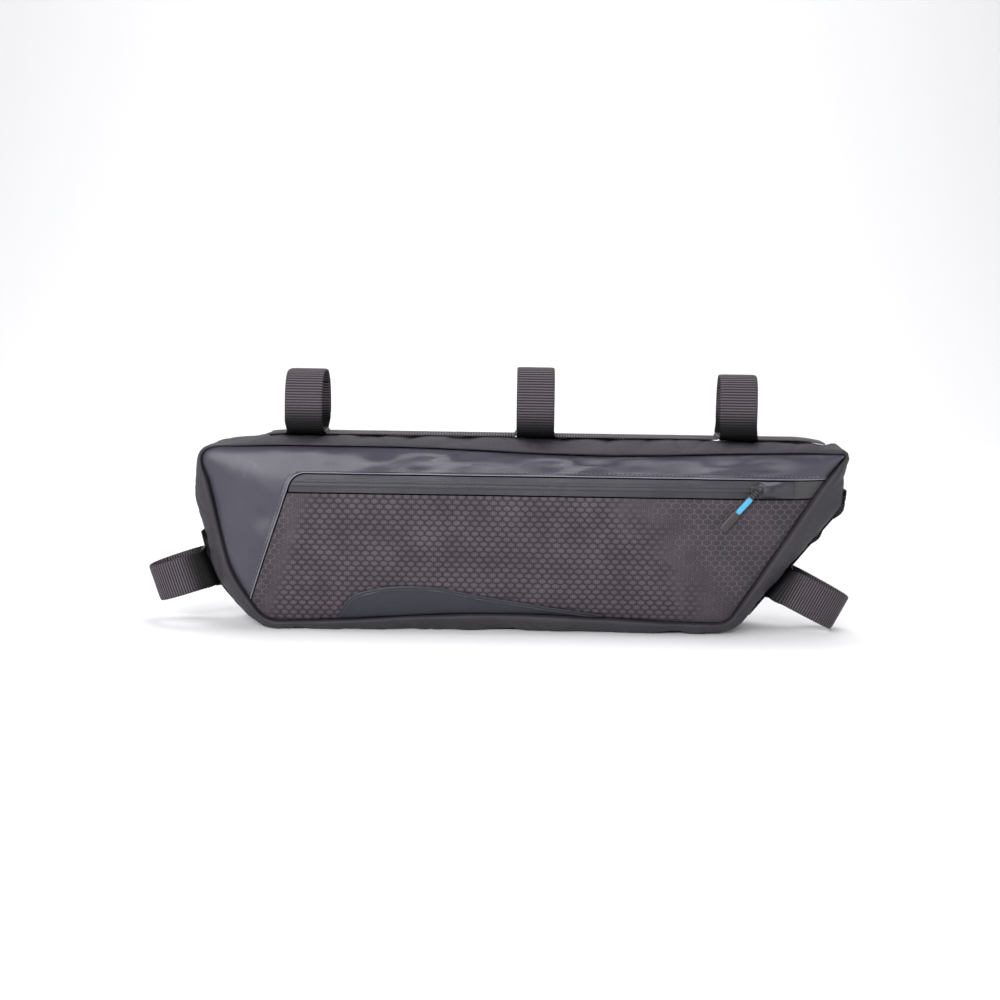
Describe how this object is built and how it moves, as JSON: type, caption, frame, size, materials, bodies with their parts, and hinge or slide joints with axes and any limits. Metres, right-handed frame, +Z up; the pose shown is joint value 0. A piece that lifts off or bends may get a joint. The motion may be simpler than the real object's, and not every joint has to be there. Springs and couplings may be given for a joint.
{
  "type": "bicycle frame bag",
  "caption": "Slim zipped bag for a bicycle's frame, with coated panels, a honeycomb ripstop pocket and webbing straps that loop round the tubes.",
  "frame": {"origin": "middle of the footprint, on the surface the bag stands on", "axes": "+X towards the front of the bicycle, +Z up, -Y out of the side with the zip"},
  "size_m": [0.4778, 0.0738, 0.1766],
  "materials": {
    "gusset": "dark grey nylon, plain weave",
    "coated": "blue-grey coated cloth with a soft sheen",
    "ripstop": "warm charcoal ripstop with a honeycomb weave",
    "zip": "coated water-resistant zip tape",
    "webbing": "ribbed black webbing",
    "rubber": "black shrink tube",
    "slider": "black painted",
    "blue": "plain blue print"
  },
  "bodies": {
    "root": {"gusset": "gusset", "back_panel": "gusset", "coated_wrap": "coated", "zip_tape": "zip", "pocket_panel": "ripstop", "foot_patch": "coated", "zip_hood": "coated", "zip_slider": "slider", "pull_cord": "webbing", "pull_grip": "rubber", "pull_stripe": "blue", "strap_top_rear": "webbing", "strap_top_middle": "webbing", "strap_top_front": "webbing", "strap_seat_tube": "webbing", "strap_down_tube": "webbing", "chain_top": "webbing", "chain_rear": "webbing", "chain_front": "webbing"}
  },
  "joints": []
}
